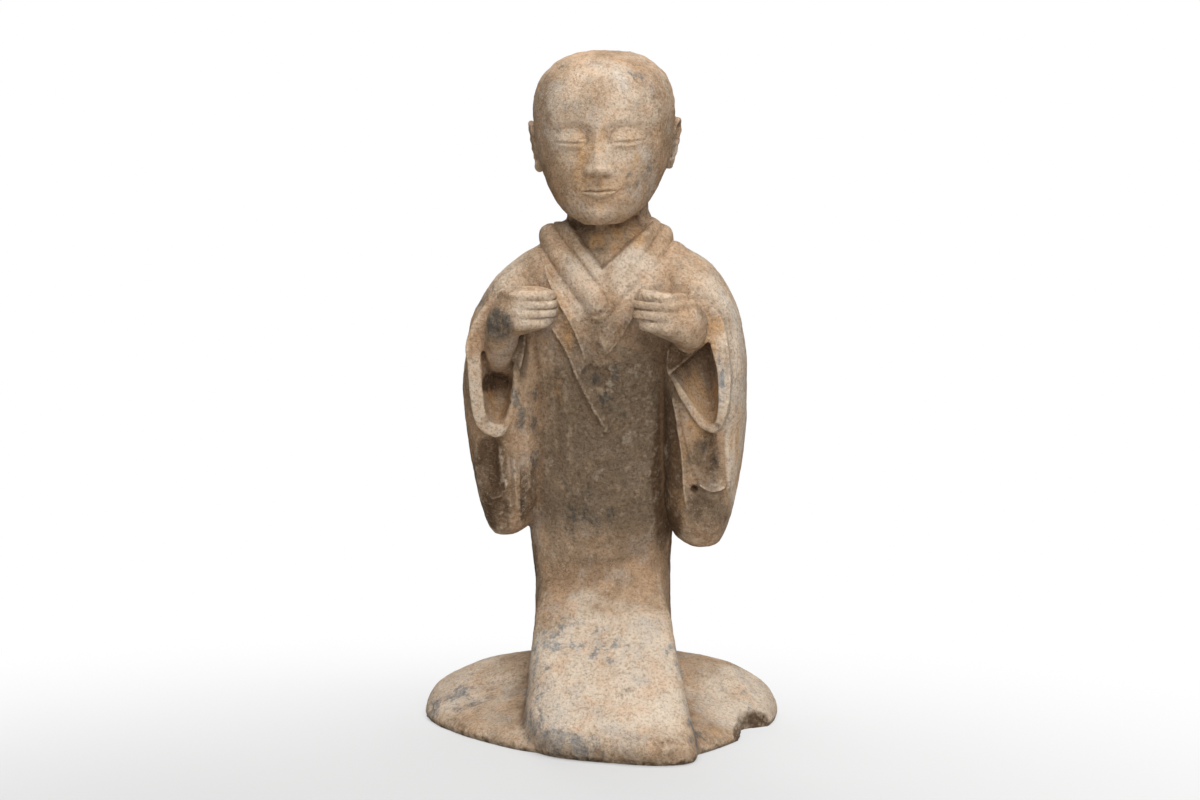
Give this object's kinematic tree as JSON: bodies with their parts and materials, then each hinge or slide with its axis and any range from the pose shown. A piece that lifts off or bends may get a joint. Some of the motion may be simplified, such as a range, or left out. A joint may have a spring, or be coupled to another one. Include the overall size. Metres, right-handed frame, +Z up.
{
  "type": "terracotta court figure",
  "caption": "Kneeling court attendant in crossed robes with wide hanging sleeves, hands raised before the chest, skirt spread on the ground.",
  "frame": {"origin": "middle of the bounding box's bottom, on the flat underside", "axes": "+Z up the figure, -Y the way it faces, +X to the viewer's right as the figure is seen from in front"},
  "size_m": [0.214, 0.2088, 0.4001],
  "materials": {
    "terracotta": "matte"
  },
  "bodies": {
    "root": {"court_figure": "terracotta"}
  },
  "joints": []
}
